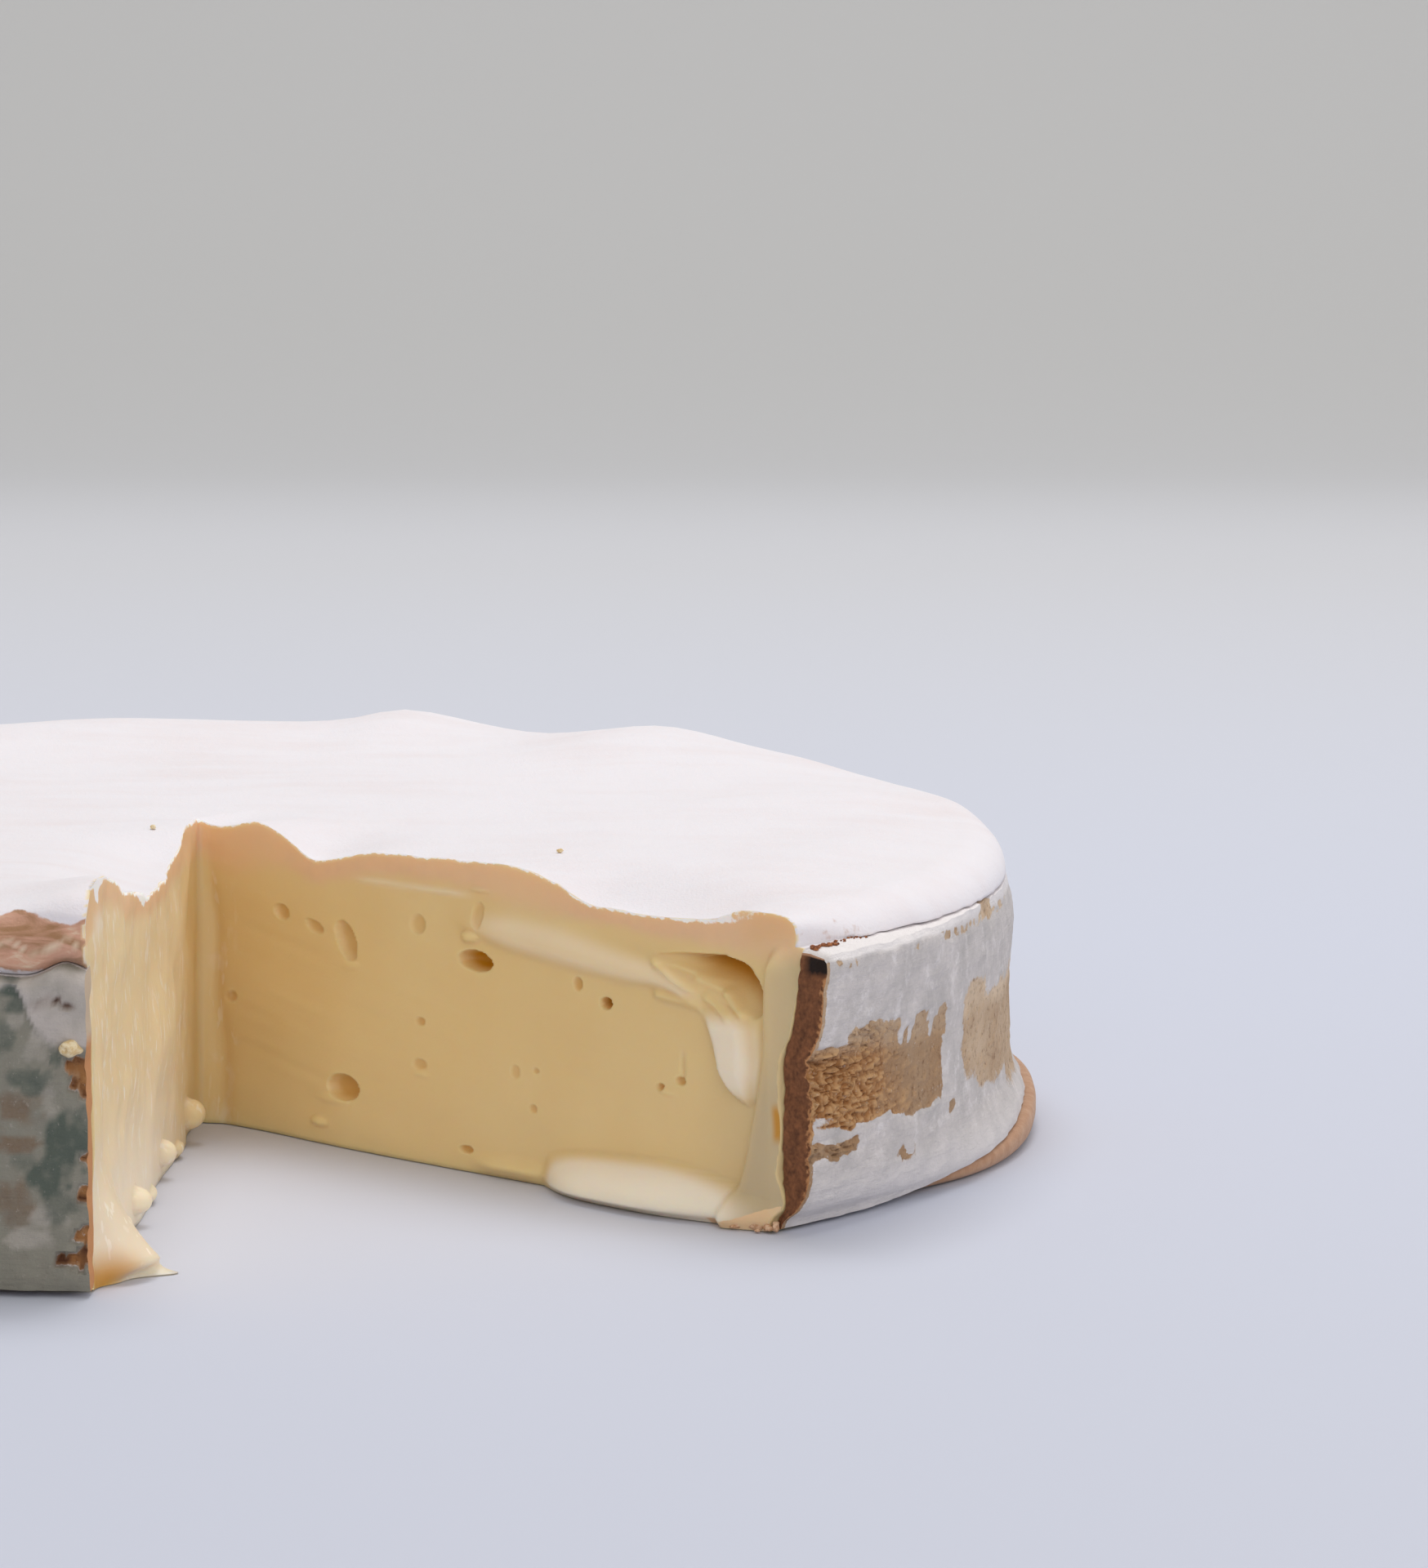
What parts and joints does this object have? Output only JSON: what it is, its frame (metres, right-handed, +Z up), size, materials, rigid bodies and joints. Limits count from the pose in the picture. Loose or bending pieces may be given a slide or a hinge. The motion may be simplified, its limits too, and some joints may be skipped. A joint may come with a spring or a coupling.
{
  "type": "cheese wheel",
  "caption": "Ripe soft cheese wheel with a white bloomy rind, bound in a strap of spruce bark, with a wedge cut out to show its runny paste.",
  "frame": {"origin": "on the surface the wheel stands on, below the wheel's axis", "axes": "+Z up along the wheel's axis; the missing wedge opens towards -Y; +X to the right as seen from the cut side"},
  "size_m": [0.2871, 0.2804, 0.0596],
  "materials": {
    "cheese": "ripe pale yellow paste, moist and smooth, with a felt-like white bloomy rind on the outside",
    "bark": "rough fibrous spruce bark, red-brown where it is cut, dusted with white and grey-green mould"
  },
  "bodies": {
    "root": {"cheese": "cheese", "bark_band": "bark"}
  },
  "joints": []
}
